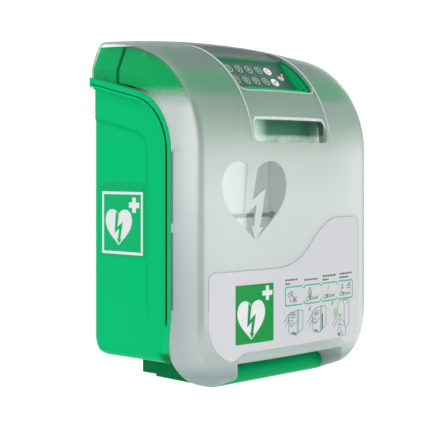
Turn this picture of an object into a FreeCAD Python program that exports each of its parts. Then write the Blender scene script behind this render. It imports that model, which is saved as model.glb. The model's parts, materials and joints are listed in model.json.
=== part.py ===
import FreeCAD, Part
import math
import os
from FreeCAD import Vector

# Millimetres. X is to the right seen from the front, Y towards the wall, Z up.
# The origin is the centre of the four wall holes, on the wall plane.
# In this file a place is given as (x, depth, height): depth is measured from the foremost point of the
# cover towards the wall, and height from the lower corner line of the cover's front.
DEPTH = 201.0
MOUNT_HEIGHT = 230.0
HOLE_SPACING = 260.0
HOLE_R = 3.5

# Cover
FRONT_HALF = 172.0
FRONT_DEPTH = 10.0
FLANGE_HALF = 185.0
FLANGE_DEPTH = 46.0
BOW_R = (FRONT_HALF ** 2 + FRONT_DEPTH ** 2) / (2 * FRONT_DEPTH)
SECTION_DEPTH = 110.0
SKIN = 3.0
CORNER_X = 100.0
CORNER_H = 80.0
HOOD_R = 150.0
HOOD_H = 300.0
HOOD_TURN = 72.0
TOP_R = 300.0
COVER_BACK = 196.0
TAIL = 10.0
FRONT_ROUND = 8.0

# Parting line between the cover and the base shell
PART_R = 82.0
PART_SLOPE = 13.0
LOW_DEPTH = 59.0
RIM_GAP = 1.0

# Base shell
BASE_HALF = 175.0
WALL = 3.5
BASE_LOW = 30.0
BASE_CORNER = 12.0
BACK_CORNER = 25.0
BAND = 12.0
RECESS = 1.5
RECESS_STEP = 54.0
RAIL_DEPTH = 156.0

# Hinge
AXIS_DEPTH = 50.0
AXIS_H = 7.0
NOSE_R = 12.5
CHIN_HALF = 106.0
PIN_R = 4.0
PIN_IN = 92.0
PIN_OUT = 115.0
BUSH_R = 7.0
RUN = 0.05
EAR_IN = 108.0
EAR_OUT = 112.5

# Openings in the cover
GRIP_HALF = 76.0
SLOT_LOW = 313.0
SLOT_HIGH = 344.0
BAR_TOP = 382.0
WINDOW_BACK = 88.0
RAMP_HALF = 70.0
RAMP_FRONT = 87.0
RAMP_LOW = 430.5
RAMP_BACK = 118.0
RAMP_HIGH = 445.5
POCKET_BACK = 36.0
POCKET_TOP = 371.0
POCKET_SKIN = 2.5
LEDGE_H = 30.0

# Console and keypad
CONSOLE_LOW = 375.0
CONSOLE_BACK = 150.0
CONSOLE_GAP = 7.0
CONSOLE_SKIN = 3.0
PAD_DEPTH = 71.0
PAD_H = 405.0
PAD_TILT = 48.8
PAD_HALF = 74.0
SCOOP_GAP = 5.0
PAD_REACH = 27.0
PAD_FOOT = 386.0
LEDGE_BACK = 55.0
BEZEL_T = 2.0
FLOOR_T = 2.0
KEY_R = 7.0
KEY_PITCH = 20.0
ROW_PITCH = 21.3
FIRST_KEY_X = -65.0
KEY_CLEAR = 0.4
KEY_PROUD = 0.8
KEY_DEEP = 3.2

# Lock
LOCK_X = 100.0
LOCK_DEPTH = 69.0
BOLT_R = 4.0
BOLT_LOW = 375.6
BOLT_HIGH = 395.0
STRIKER_LOW = 366.5
STRIKER_T = 3.0

# Compartment
LINER_HALF = 166.0
LINER_T = 1.5
LINER_LOW = 38.0
LINER_BACK = 190.0
LINER_FRONT = 56.0
LINER_TOP = 366.0
STRAP_H = 207.0
STRAP_WIDE = 6.0
STRAP_T = 1.6
STRAP_OFF = 1.2
STRAP_END = 120.0

# Cable gland
GLAND_X = 130.0
GLAND_DEPTH = 165.0
GLAND_R = 6.0
CABLE_R = 3.5


def place(x, depth, height):
    return Vector(x, depth - DEPTH, height - MOUNT_HEIGHT)


def trace(where, start, *steps):
    """A closed face. A step is a corner, or a pair (through, end) for an arc."""
    edges = []
    here = start
    for step in list(steps) + [start]:
        if step == here:
            continue
        if isinstance(step[0], tuple):
            through, end = step
            edges.append(Part.Arc(where(*here), where(*through), where(*end)).toShape())
        else:
            end = step
            edges.append(Part.LineSegment(where(*here), where(*end)).toShape())
        here = end
    return Part.Face(Part.Wire(edges))


def side_prism(x0, x1, start, *steps):
    face = trace(lambda depth, height: place(x0, depth, height), start, *steps)
    return face.extrude(Vector(x1 - x0, 0, 0))


def front_prism(depth0, depth1, start, *steps):
    face = trace(lambda x, height: place(x, depth0, height), start, *steps)
    return face.extrude(Vector(0, depth1 - depth0, 0))


def box(x0, x1, depth0, depth1, height0, height1):
    return Part.makeBox(x1 - x0, depth1 - depth0, height1 - height0, place(x0, depth0, height0))


def rod(start, end, radius):
    run = end.sub(start)
    return Part.makeCylinder(radius, run.Length, start, run)


def join(shapes):
    return shapes[0].fuse(shapes[1:]).removeSplitter()


def group(shapes):
    return Part.makeCompound(shapes)


def save(name, shape):
    shape.exportStep("parts/" + name + ".step")


# ---------------------------------------------------------------- cover surfaces

def bow_depth(x, inset):
    return BOW_R - math.sqrt((BOW_R - inset) ** 2 - x ** 2)


def section(inset):
    """Plan section of the cover at the hood's spring line, offset inwards by inset."""
    front = FRONT_HALF - inset
    side = FLANGE_HALF - inset
    bow = bow_depth(front, inset)
    return trace(
        lambda x, depth: place(x, depth, HOOD_H),
        (-side, SECTION_DEPTH),
        (-side, FLANGE_DEPTH),
        (-front, bow),
        ((0.0, inset), (front, bow)),
        (side, FLANGE_DEPTH),
        (side, SECTION_DEPTH),
    )


def pan_wire(depth, half):
    """Lower outline of the cover: straight sides and two round bottom corners."""
    radius = half - CORNER_X
    lean = radius * math.sqrt(0.5)
    face = trace(
        lambda x, height: place(x, depth, height),
        (-half, CORNER_H),
        ((-CORNER_X - lean, CORNER_H - lean), (-CORNER_X, CORNER_H - radius)),
        (CORNER_X, CORNER_H - radius),
        ((CORNER_X + lean, CORNER_H - lean), (half, CORNER_H)),
    )
    return face.OuterWire


def pan(inset):
    """Lower part of the cover: a drafted pan with a bowed front."""
    slope = (FLANGE_HALF - FRONT_HALF) / (FLANGE_DEPTH - FRONT_DEPTH)
    lead = -8.0
    front_half = FRONT_HALF - inset + slope * (lead - FRONT_DEPTH)
    side = FLANGE_HALF - inset
    drafted = Part.makeLoft([pan_wire(lead, front_half), pan_wire(FLANGE_DEPTH, side)], True, True)
    straight = Part.Face(pan_wire(FLANGE_DEPTH, side)).extrude(Vector(0, SECTION_DEPTH - FLANGE_DEPTH, 0))
    edge = FLANGE_HALF + 5.0
    bowed = trace(
        lambda x, depth: place(x, depth, CORNER_H),
        (-edge, SECTION_DEPTH),
        (-edge, bow_depth(edge, inset)),
        ((0.0, inset), (edge, bow_depth(edge, inset))),
        (edge, SECTION_DEPTH),
    ).extrude(Vector(0, 0, -2 * CORNER_H))
    return join([drafted, straight]).common(bowed)


def top_centre():
    turn = math.radians(HOOD_TURN)
    reach = TOP_R - HOOD_R
    return place(0, HOOD_R + reach * math.cos(turn), HOOD_H - reach * math.sin(turn))


def cover_body(inset):
    """The whole volume inside the cover's outer surface, offset inwards by inset."""
    face = section(inset)
    hood_axis = place(0, HOOD_R, HOOD_H)
    back = Vector(-1, 0, 0)
    front = face.extrude(Vector(0, 0, CORNER_H - HOOD_H))
    hood = face.revolve(hood_axis, back, HOOD_TURN)
    turned = face.copy()
    turned.rotate(hood_axis, back, HOOD_TURN)
    top = turned.revolve(top_centre(), back, 90 - HOOD_TURN)
    turned.rotate(top_centre(), back, 90 - HOOD_TURN)
    tail = turned.extrude(Vector(0, TAIL, 0))
    return join([front, hood, top, tail, pan(inset)])


def with_round_edge(body):
    """Round the edge between the bowed front and the drafted sides."""
    edges = []
    for edge in body.Edges:
        middle = edge.valueAt((edge.FirstParameter + edge.LastParameter) / 2)
        beside = abs(abs(middle.x) - FRONT_HALF) < 1.0
        below = edge.Curve.TypeId in ("Part::GeomBSplineCurve", "Part::GeomEllipse")
        if beside or below:
            edges.append(edge)
    return body.makeFillet(FRONT_ROUND, edges).Solids[0]


# ---------------------------------------------------------------- parting line

def parting_points(step):
    """Corner points of the parting line moved towards the wall by step, from the bottom to the wall."""
    lean = math.radians(90 + PART_SLOPE)
    middle = (math.pi + lean) / 2
    radius = PART_R - step
    centre = FLANGE_DEPTH + PART_R
    end = (centre + radius * math.cos(lean), HOOD_H + radius * math.sin(lean))
    through = (centre + radius * math.cos(middle), HOOD_H + radius * math.sin(middle))
    return {
        "low": (LOW_DEPTH + step, 38.0),
        "bend": ((51.5 + step, 62.0), (FLANGE_DEPTH + step, 90.0)),
        "spring": (FLANGE_DEPTH + step, HOOD_H),
        "arc": (through, end),
        "end": end,
    }


def parting_height(depth, step):
    end = parting_points(step)["end"]
    return end[1] + (depth - end[0]) * math.tan(math.radians(PART_SLOPE))


def in_front_of_parting():
    points = parting_points(0.0)
    return side_prism(
        -200, 200,
        (-20.0, -30.0),
        (LOW_DEPTH, -30.0),
        points["low"],
        points["bend"],
        points["spring"],
        points["arc"],
        (COVER_BACK, parting_height(COVER_BACK, 0.0)),
        (COVER_BACK, 434.0),
        ((COVER_BACK - 3.5, 444.0), (COVER_BACK - 14.0, 460.0)),
        (COVER_BACK - 14.0, 500.0),
        (-20.0, 500.0),
    )


def behind_parting(step, half):
    points = parting_points(step)
    slant = BACK_CORNER * (1 - math.sqrt(0.5))
    return side_prism(
        -half, half,
        (DEPTH - BACK_CORNER, BASE_LOW),
        ((DEPTH - slant, BASE_LOW + slant), (DEPTH, BASE_LOW + BACK_CORNER)),
        (DEPTH, parting_height(DEPTH, step)),
        points["end"],
        (parting_points(step)["arc"][0], points["spring"]),
        points["bend"][1],
        (points["bend"][0], points["low"]),
        (points["low"][0], BASE_LOW),
    )


# ---------------------------------------------------------------- base shell and chin

def tub_outline(depth0, depth1, half, low, corner):
    slant = corner * (1 - math.sqrt(0.5))
    return front_prism(
        depth0, depth1,
        (-half, 480.0),
        (-half, low + corner),
        ((-half + slant, low + slant), (-half + corner, low)),
        (half - corner, low),
        ((half - slant, low + slant), (half, low + corner)),
        (half, 480.0),
    )


def wall_holes():
    half = HOLE_SPACING / 2
    return [
        rod(place(x, DEPTH - 20, MOUNT_HEIGHT + z), place(x, DEPTH + 5, MOUNT_HEIGHT + z), HOLE_R)
        for x in (-half, half)
        for z in (-half, half)
    ]


def rear_cap(outer_body, inner_body):
    """The part of the shell above the rim at the wall: side rails, top and back in one."""
    outer = outer_body.common(box(-178.0, 178.0, RAIL_DEPTH, DEPTH, 384.0, 480.0))
    inner = inner_body.common(box(-174.5, 174.5, -20.0, DEPTH - WALL, 300.0, 480.0))
    return outer.cut(inner)


def base_shell(outer_body, inner_body):
    cavity = tub_outline(-20.0, DEPTH - WALL, BASE_HALF - WALL, BASE_LOW + WALL, BASE_CORNER - WALL)
    outside = tub_outline(-20.0, DEPTH, BASE_HALF, BASE_LOW, BASE_CORNER)
    tub = behind_parting(RIM_GAP, FLANGE_HALF).common(outside).cut(cavity)
    pan_outline = Part.Face(pan_wire(0.0, FLANGE_HALF)).extrude(Vector(0, DEPTH, 0))
    upper = box(-FLANGE_HALF, FLANGE_HALF, 0.0, DEPTH, CORNER_H, 480.0)
    band = behind_parting(RIM_GAP, FLANGE_HALF).cut(behind_parting(RIM_GAP + BAND, FLANGE_HALF))
    band = band.common(join([pan_outline, upper])).cut(cavity)
    recess = behind_parting(RIM_GAP + RECESS_STEP, FLANGE_HALF)
    recess = recess.cut(box(-BASE_HALF + RECESS, BASE_HALF - RECESS, 0.0, 250.0, -50.0, 500.0))
    shell = join([tub.cut(recess), band, rear_cap(outer_body, inner_body)])
    return shell.cut(wall_holes() + [gland_rod(0.0, 60.0, GLAND_R)])


def chin_profile():
    """Stepped block under the shell that ends in the round hinge nose."""
    return (
        (181.0, BASE_LOW),
        (181.0, 0.0),
        (155.0, 0.0),
        (155.0, -3.0),
        (AXIS_DEPTH, AXIS_H - NOSE_R),
        ((AXIS_DEPTH - NOSE_R, AXIS_H), (AXIS_DEPTH, AXIS_H + NOSE_R)),
        (66.0, AXIS_H + NOSE_R),
        (66.0, BASE_LOW),
    )


def hinge_chin():
    solid = side_prism(-CHIN_HALF, CHIN_HALF, *chin_profile())
    hollow = box(-CHIN_HALF + 4, CHIN_HALF - 4, 82.0, 150.0, 3.0, BASE_LOW + 1)
    bores = [hinge_rod(side * PIN_IN, side * EAR_OUT, PIN_R) for side in (-1, 1)]
    return solid.cut([hollow] + bores + screw_group(chin_screw_places(), BASE_LOW - 12.0, 2.0, 4.0))


def chin_screw_places():
    return [(x, 168.0) for x in (-80.0, -30.0, 30.0, 80.0)]


def screw_group(places, tip, radius, head_r):
    """Upright screws whose heads are below their tips."""
    screws = []
    for x, depth in places:
        shank = rod(place(x, depth, tip - 8.0), place(x, depth, tip + 10.0), radius)
        head = rod(place(x, depth, tip - 11.0), place(x, depth, tip - 8.0), head_r)
        screws.append(join([shank, head]))
    return screws


def hinge_rod(x0, x1, radius):
    return rod(place(x0, AXIS_DEPTH, AXIS_H), place(x1, AXIS_DEPTH, AXIS_H), radius)


def hinge_pins():
    return [hinge_rod(side * PIN_IN, side * PIN_OUT, PIN_R) for side in (-1, 1)]


def hinge_bushes():
    bushes = []
    for side in (-1, 1):
        sleeve = hinge_rod(side * EAR_IN, side * EAR_OUT, BUSH_R)
        bushes.append(sleeve.cut(hinge_rod(side * EAR_IN, side * EAR_OUT, PIN_R + RUN)))
    return bushes


def seal_strips():
    """Foam strips on the rim, inside the cover's side walls, in two lengths a side."""
    rim = FLANGE_DEPTH + RIM_GAP
    strips = []
    for side in (-1, 1):
        x0, x1 = sorted((side * 172.5, side * 178.5))
        strips.append(box(x0, x1, rim - 3.0, rim, 101.0, 199.0))
        strips.append(box(x0, x1, rim - 3.0, rim, 210.0, 300.0))
    return strips


def side_sign(side):
    face = BASE_HALF - RECESS
    x0, x1 = sorted((side * face, side * (face + 0.3)))
    return box(x0, x1, 106.0, 190.0, 162.0, 260.0)


# ---------------------------------------------------------------- compartment

def inner_liner():
    outer = box(-LINER_HALF, LINER_HALF, LINER_FRONT, LINER_BACK, LINER_LOW, LINER_TOP)
    inner = box(-LINER_HALF + LINER_T, LINER_HALF - LINER_T, 0.0, LINER_BACK - LINER_T,
                LINER_LOW + LINER_T, 480.0)
    half = HOLE_SPACING / 2
    access = [
        rod(place(x, 150.0, MOUNT_HEIGHT + z), place(x, DEPTH, MOUNT_HEIGHT + z), 9.0)
        for x in (-half, half)
        for z in (-half, half)
    ]
    under_parting = behind_parting(RIM_GAP + 3.0, 200.0)
    return outer.cut([inner] + access + liner_screws()).common(under_parting)


def liner_screws():
    screws = []
    face = LINER_BACK - LINER_T
    for x in (-150.0, 150.0):
        for height in (190.0, 270.0):
            shank = rod(place(x, face, height), place(x, DEPTH - WALL, height), 1.75)
            head = rod(place(x, face - 2.0, height), place(x, face, height), 3.5)
            screws.append(join([shank, head]))
    return screws


def device_shelf():
    floor = LINER_LOW + LINER_T
    plate = box(-150.0, 150.0, 66.0, 184.0, floor, floor + 4.0)
    lip = box(-150.0, 150.0, 66.0, 70.0, floor, floor + 18.0)
    ribs = [box(x - 1.5, x + 1.5, 70.0, 184.0, floor + 4.0, floor + 7.0) for x in range(-120, 121, 40)]
    return join([plate, lip] + ribs)


def strap():
    """Elastic band along the back and side walls, standing a little off them."""
    half = LINER_HALF - LINER_T - STRAP_OFF
    back = LINER_BACK - LINER_T - STRAP_OFF
    low = STRAP_H - STRAP_WIDE / 2
    outer = box(-half, half, STRAP_END, back, low, low + STRAP_WIDE)
    hollow = box(-half + STRAP_T, half - STRAP_T, 0.0, back - STRAP_T, 0.0, 480.0)
    return outer.cut(hollow)


def strap_studs():
    """A stud behind the band at each back corner, and a spacer and a rivet head at each of its ends."""
    wall = LINER_HALF - LINER_T
    far = wall - STRAP_OFF - STRAP_T
    studs = []
    for side in (-1, 1):
        studs.append(side_rod(side * wall, side * (wall - STRAP_OFF + 0.2), 180.0, 5.0))
        studs.append(side_rod(side * wall, side * (wall - STRAP_OFF), STRAP_END + 5.0, 2.5))
        studs.append(side_rod(side * far, side * (far - 1.2), STRAP_END + 5.0, 2.5))
    return studs


def side_rod(x0, x1, depth, radius):
    return rod(place(x0, depth, STRAP_H), place(x1, depth, STRAP_H), radius)


def strap_buckle():
    back = LINER_BACK - LINER_T - STRAP_OFF - STRAP_T
    frame = box(-9.0, 9.0, back - 2.5, back, STRAP_H - 6.5, STRAP_H + 6.5)
    return frame.cut(box(-6.0, 6.0, back - 10.0, back - 1.0, STRAP_H - 4.0, STRAP_H + 4.0))


def heater_plate():
    plate = box(-60.0, 60.0, 192.0, 197.0, 70.0, 150.0)
    return plate.cut([box(-52.0, 52.0, 191.0, 193.5, h, h + 6.0) for h in range(80, 141, 12)])


def thermostat():
    return join([
        box(78.0, 100.0, 193.0, 197.5, 100.0, 116.0),
        rod(place(89.0, 191.8, 108.0), place(89.0, 193.5, 108.0), 6.0),
    ])


def cable_gland():
    """Screwed cable entry in the floor of the shell."""
    barrel = gland_rod(22.0, 36.5, GLAND_R)
    collar = gland_rod(20.0, BASE_LOW, 9.0)
    nut = gland_rod(BASE_LOW + WALL, 37.0, 8.5)
    return join([barrel, collar, nut]).cut(gland_rod(0.0, 60.0, CABLE_R))


def gland_rod(low, high, radius):
    return rod(place(GLAND_X, GLAND_DEPTH, low), place(GLAND_X, GLAND_DEPTH, high), radius)


# ---------------------------------------------------------------- console

def on_pad(x, along, out):
    """A point of the keypad's own frame: along runs up the slope, out leaves the panel."""
    tilt = math.radians(PAD_TILT)
    depth = PAD_DEPTH + along * math.cos(tilt) - out * math.sin(tilt)
    height = PAD_H + along * math.sin(tilt) + out * math.cos(tilt)
    return place(x, depth, height)


def pad_block(x0, x1, along0, along1, out0, out1):
    corners = [on_pad(x0, a, o) for a, o in ((along0, out0), (along1, out0), (along1, out1), (along0, out1))]
    return Part.Face(Part.makePolygon(corners + corners[:1])).extrude(Vector(x1 - x0, 0, 0))


def pad_rod(x, along, out0, out1, radius):
    return rod(on_pad(x, along, out0), on_pad(x, along, out1), radius)


def key_places():
    """Twelve keys in two rows of six, the upper row first."""
    return [
        (FIRST_KEY_X + KEY_PITCH * column, ROW_PITCH * (0.5 - row))
        for row in (0, 1)
        for column in range(6)
    ]


def console_region(low, back):
    return side_prism(
        -180.0, 180.0,
        (-20.0, low), (back, low), (back, 500.0), (-20.0, 500.0),
    )


def console_housing(outer_body, inner_body):
    outer = outer_body.common(console_region(CONSOLE_LOW, CONSOLE_BACK))
    inner = inner_body.common(console_region(0.0, CONSOLE_BACK - CONSOLE_SKIN))
    sides = box(-178.0, 178.0, -20.0, 200.0, 300.0, 500.0)
    clear = box(-175.0, 175.0, -20.0, 200.0, 300.0, 500.0)
    recess = pad_block(-PAD_HALF, PAD_HALF, -PAD_REACH, PAD_REACH, -BEZEL_T, 60.0)
    boss = pad_block(-PAD_HALF - 2, PAD_HALF + 2, -PAD_REACH - 2, PAD_REACH + 2, -BEZEL_T - FLOOR_T, 62.0)
    keys = [pad_rod(x, along, -BEZEL_T - FLOOR_T - 1, 0.0, KEY_R + KEY_CLEAR) for x, along in key_places()]
    cavity = inner.common(clear).cut(boss)
    # The side walls stop above the rim of the shell, which rises towards the wall.
    points = parting_points(-2.0)
    above_rim = side_prism(
        -200, 200,
        (-20.0, 300.0),
        points["spring"],
        points["arc"],
        (200.0, parting_height(200.0, -2.0)),
        (200.0, 500.0),
        (-20.0, 500.0),
    )
    middle = box(-170.0, 170.0, -20.0, 200.0, 300.0, 500.0)
    hollow = ramp(PAD_HALF, SCOOP_GAP, 40.0, RAMP_FRONT - 12.0)
    shape = outer.common(sides).cut([recess, cavity, hollow] + keys)
    shape = shape.common(join([above_rim, middle]))
    # The front skin stops level with the foot of the keypad, and a ledge closes the gap to it.
    half = PAD_HALF + 2
    foot = box(-half, half, -20.0, LEDGE_BACK, PAD_FOOT - CONSOLE_SKIN, PAD_FOOT)
    shape = shape.cut(box(-PAD_HALF, PAD_HALF, -20.0, LEDGE_BACK, PAD_FOOT, 480.0))
    shape = join([shape, foot.common(outer), console_scoop().common(outer)])
    return shape.cut(recess)


def console_scoop():
    """Floor and side walls of the hollow that makes room for the cover's scoop."""
    half = PAD_HALF + CONSOLE_SKIN
    floor = ramp(half, SCOOP_GAP + CONSOLE_SKIN, -SCOOP_GAP)
    walls = ramp(half, SCOOP_GAP + CONSOLE_SKIN, 40.0).cut(ramp(PAD_HALF, SCOOP_GAP + CONSOLE_SKIN, 41.0))
    over_pad = pad_block(-half, half, -PAD_REACH - 2, PAD_REACH, -2 * (BEZEL_T + FLOOR_T), 62.0)
    return join([floor, walls]).cut(over_pad)


def console_base(inner_body, screws):
    room = box(-169.0, 169.0, 0.0, CONSOLE_BACK - CONSOLE_SKIN, CONSOLE_LOW, CONSOLE_LOW + 3.0)
    bolt_hole = rod(place(LOCK_X, LOCK_DEPTH, 300.0), place(LOCK_X, LOCK_DEPTH, 400.0), BOLT_R + 1.0)
    return inner_body.common(room).cut([bolt_hole] + screws)


def console_screws():
    places = [(x, depth) for x in (-158.0, 158.0) for depth in (75.0, 135.0)]
    screws = []
    for x, depth in places:
        shank = rod(place(x, depth, CONSOLE_LOW), place(x, depth, CONSOLE_LOW + 10.0), 1.75)
        head = rod(place(x, depth, CONSOLE_LOW - 2.0), place(x, depth, CONSOLE_LOW), 3.5)
        screws.append(join([shank, head]))
    return screws


def keypad_bezel():
    plate = pad_block(-PAD_HALF + 0.2, PAD_HALF - 0.2, -PAD_REACH + 0.2, PAD_REACH - 0.2, -BEZEL_T, 0.0)
    return plate.cut([pad_rod(x, along, -10.0, 10.0, KEY_R + KEY_CLEAR) for x, along in key_places()])


def key_cap(x, along):
    return pad_rod(x, along, -KEY_DEEP, KEY_PROUD, KEY_R)


def keypad_board():
    low = -BEZEL_T - FLOOR_T
    return pad_block(-70.0, 70.0, -24.0, 24.0, low - 1.6, low)


def main_board():
    board = box(-92.0, 92.0, 96.0, 142.0, 384.0, 385.6)
    posts = [
        rod(place(x, depth, 378.0), place(x, depth, 384.0), 3.0)
        for x in (-86.0, 86.0)
        for depth in (102.0, 136.0)
    ]
    chips = [box(x, x + 12.0, 108.0, 120.0, 385.6, 388.0) for x in (-70.0, -40.0, -10.0, 20.0)]
    return join([board] + posts + chips)


def terminal_block():
    body = box(48.0, 80.0, 122.0, 134.0, 385.6, 396.0)
    wire_holes = [rod(place(x, 121.0, 390.0), place(x, 130.0, 390.0), 1.5) for x in (52.0, 60.0, 68.0, 76.0)]
    return body.cut(wire_holes)


def siren():
    body = rod(place(-132.0, 108.0, 378.0), place(-132.0, 108.0, 400.0), 24.0)
    return body.cut(rod(place(-132.0, 108.0, 396.0), place(-132.0, 108.0, 401.0), 16.0))


def battery_holder():
    tray = box(94.0, 153.0, 92.0, 144.0, 378.0, 392.0)
    return tray.cut(cell_rods(0.2))


def cell_rods(grow):
    """Three AA cells side by side, or their wells when grow is the play around them."""
    return [
        rod(place(98.5 - grow, depth, 389.0), place(148.5 + grow, depth, 389.0), 7.0 + grow)
        for depth in (101.0, 118.0, 135.0)
    ]


def light_lens():
    return box(-60.0, 60.0, 96.0, 116.0, CONSOLE_LOW - 3.0, CONSOLE_LOW)


def lock_solenoid():
    body = box(LOCK_X - 11.0, LOCK_X + 11.0, LOCK_DEPTH - 10.0, LOCK_DEPTH + 12.0, 378.0, 396.0)
    return body.cut(rod(place(LOCK_X, LOCK_DEPTH, 370.0), place(LOCK_X, LOCK_DEPTH, 399.0), BOLT_R + RUN))


def lock_bolt():
    return rod(place(LOCK_X, LOCK_DEPTH, BOLT_LOW), place(LOCK_X, LOCK_DEPTH, BOLT_HIGH), BOLT_R)


def reed_sensor():
    return box(-122.0, -98.0, 42.0, 52.0, CONSOLE_LOW - 6.0, CONSOLE_LOW)


# ---------------------------------------------------------------- cover pieces

def round_slot():
    """Finger slot under the grip bar."""
    corner = 9.0
    slant = corner * (1 - math.sqrt(0.5))
    left, right, low, high = -GRIP_HALF, GRIP_HALF, SLOT_LOW, SLOT_HIGH
    return front_prism(
        -20.0, POCKET_BACK - 1.0,
        (left + corner, low),
        (right - corner, low),
        ((right - slant, low + slant), (right, low + corner)),
        (right, high - corner),
        ((right - slant, high - slant), (right - corner, high)),
        (left + corner, high),
        ((left + slant, high - slant), (left, high - corner)),
        (left, low + corner),
        ((left + slant, low + slant), (left + corner, low)),
    )


def window():
    """Opening over the keypad, with round corners where it meets the grip bar."""
    half = GRIP_HALF
    corner = 10.0
    slant = corner * (1 - math.sqrt(0.5))
    side_view = side_prism(
        -half, half,
        (-20.0, BAR_TOP), (45.0, BAR_TOP), (WINDOW_BACK, 412.0), (WINDOW_BACK, 500.0), (-20.0, 500.0),
    )
    front_view = front_prism(
        -20.0, WINDOW_BACK,
        (-half, 500.0),
        (-half, BAR_TOP + corner),
        ((-half + slant, BAR_TOP + slant), (-half + corner, BAR_TOP)),
        (half - corner, BAR_TOP),
        ((half - slant, BAR_TOP + slant), (half, BAR_TOP + corner)),
        (half, 500.0),
    )
    return side_view.common(front_view)


def ramp(half, thick, rise, front=RAMP_FRONT):
    """Flat scoop in the hood behind the keypad opening, thick down and rise up from its upper face."""
    slope = (RAMP_HIGH - RAMP_LOW) / (RAMP_BACK - RAMP_FRONT)
    low = RAMP_LOW + slope * (front - RAMP_FRONT)
    return side_prism(
        -half, half,
        (front, low - thick), (RAMP_BACK, RAMP_HIGH - thick), (RAMP_BACK, RAMP_HIGH + rise), (front, low + rise),
    )


def pocket(outer):
    """Finger pocket behind the grip bar, open at the top."""
    half = GRIP_HALF + POCKET_SKIN
    block = box(-half, half, 0.0, POCKET_BACK + POCKET_SKIN, SLOT_LOW - POCKET_SKIN, POCKET_TOP)
    inside = box(-GRIP_HALF, GRIP_HALF, -20.0, POCKET_BACK, SLOT_LOW, 500.0)
    return block.cut(inside).common(outer)


def cover_shell(outer, inner):
    keep = in_front_of_parting()
    skin = outer.cut(inner).common(keep)
    nose_slot = box(-EAR_IN, EAR_IN, -20.0, 80.0, -40.0, LEDGE_H)
    skin = skin.cut([nose_slot, round_slot(), window(), ramp(RAMP_HALF, 0.0, 30.0)])
    scoop = ramp(RAMP_HALF + SKIN, SKIN, 0.0).cut(window())
    walls = ramp(RAMP_HALF + SKIN, 0.0, 30.0).cut(ramp(RAMP_HALF, 0.0, 31.0)).common(outer)
    ledge = box(-EAR_IN, EAR_IN, 1.5, 44.0, LEDGE_H, LEDGE_H + SKIN).common(outer)
    ears = []
    for side in (-1, 1):
        x0, x1 = sorted((side * EAR_IN, side * EAR_OUT))
        ear = box(x0, x1, 0.0, LOW_DEPTH, -20.0, LEDGE_H + SKIN).common(outer)
        hole = rod(place(side * 100.0, AXIS_DEPTH, AXIS_H), place(side * 120.0, AXIS_DEPTH, AXIS_H), BUSH_R)
        ears.append(ear.cut(hole))
    return join([skin, ledge, scoop, walls, pocket(outer)] + ears)


def label_outline(depth0, depth1):
    """Outline of the information label, with the S-shaped top edge and the notch over the hinge bar."""
    return front_prism(
        depth0, depth1,
        (-157.0, 88.0),
        (-157.0, 138.0),
        ((-154.1, 145.1), (-147.0, 148.0)),
        (-32.0, 148.0),
        ((5.0, 156.0), (36.0, 178.0)),
        ((60.0, 198.0), (88.0, 211.0)),
        (142.0, 211.0),
        ((149.1, 208.1), (152.0, 201.0)),
        (152.0, 84.0),
        ((145.0, 50.0), (120.0, 33.0)),
        ((112.0, 36.0), (104.0, 43.0)),
        (-98.0, 43.0),
        ((-108.0, 37.0), (-118.0, 33.0)),
        ((-146.0, 52.0), (-157.0, 88.0)),
    )


def cover_label(outer, proud):
    return proud.cut(outer).common(label_outline(-10.0, 20.0))


def lock_striker(inner):
    tongue = box(LOCK_X - 10.0, LOCK_X + 10.0, 10.0, LOCK_DEPTH + 8.0, STRIKER_LOW, STRIKER_LOW + STRIKER_T)
    room = BOLT_R + 1.2
    hole = box(LOCK_X - room, LOCK_X + room, LOCK_DEPTH - room, LOCK_DEPTH + room, 300.0, 400.0)
    foot = box(LOCK_X - 10.0, LOCK_X + 10.0, 10.0, 31.0, STRIKER_LOW - 14.0, STRIKER_LOW)
    return join([tongue, foot]).common(inner).cut([hole] + striker_screws(inner))


def striker_screws(inner):
    return [
        rod(place(x, 18.0, STRIKER_LOW - 7.0), place(x, 33.0, STRIKER_LOW - 7.0), 1.75).common(inner)
        for x in (LOCK_X - 5.0, LOCK_X + 5.0)
    ]


def cover_magnet(inner):
    return box(-118.0, -102.0, 10.0, 36.0, 358.0, 368.0).common(inner)


# ---------------------------------------------------------------- everything

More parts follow.
